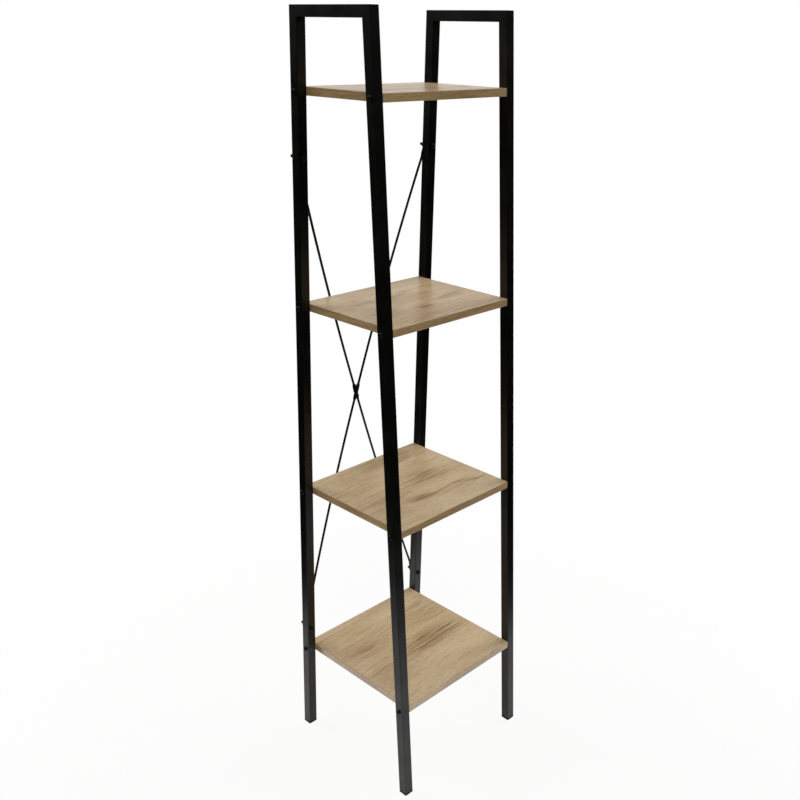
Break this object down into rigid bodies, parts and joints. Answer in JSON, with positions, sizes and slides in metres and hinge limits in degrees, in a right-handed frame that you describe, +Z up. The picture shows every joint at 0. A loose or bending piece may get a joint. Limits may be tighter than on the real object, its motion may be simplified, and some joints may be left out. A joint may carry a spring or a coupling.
{
  "type": "ladder shelving unit",
  "caption": "Narrow ladder shelf: leaning square-tube side frames carry wood-print boards that deepen towards the floor, with crossed rods bracing the back.",
  "frame": {"origin": "on the floor, at the middle of the footprint of the four legs", "axes": "+Z up, +X to the right-hand side, -Y out of the open front, so the brace rods are at +Y"},
  "size_m": [0.3566, 0.3487, 1.55],
  "materials": {
    "black_powder_coat": "semi-gloss black powder coat on steel",
    "black_fastener": "black zinc plate on steel",
    "zinc_insert": "zinc plate",
    "oak_print_board": "matt oak-print melamine on particle board",
    "oak_print_band": "oak-print edge band",
    "foot_plastic": "moulded black plastic"
  },
  "bodies": {
    "root": {"left_front_leg": "black_powder_coat", "left_front_foot": "foot_plastic", "left_rear_leg": "black_powder_coat", "left_rear_foot": "foot_plastic", "left_top_bar": "black_powder_coat", "right_front_leg": "black_powder_coat", "right_front_foot": "foot_plastic", "right_rear_leg": "black_powder_coat", "right_rear_foot": "foot_plastic", "right_top_bar": "black_powder_coat", "shelf_board_1": "oak_print_board", "shelf_edge_band_1": "oak_print_band", "shelf_bolts_1": "black_fastener", "shelf_insert_nuts_1": "zinc_insert", "shelf_board_2": "oak_print_board", "shelf_edge_band_2": "oak_print_band", "shelf_bolts_2": "black_fastener", "shelf_insert_nuts_2": "zinc_insert", "shelf_board_3": "oak_print_board", "shelf_edge_band_3": "oak_print_band", "shelf_bolts_3": "black_fastener", "shelf_insert_nuts_3": "zinc_insert", "shelf_board_4": "oak_print_board", "shelf_edge_band_4": "oak_print_band", "shelf_bolts_4": "black_fastener", "shelf_insert_nuts_4": "zinc_insert", "brace_rod_left_high": "black_powder_coat", "brace_rod_right_high": "black_powder_coat", "brace_corner_bolts": "black_fastener", "brace_corner_nuts": "black_fastener", "brace_centre_bolt": "black_fastener", "brace_centre_nut": "black_fastener"}
  },
  "joints": []
}
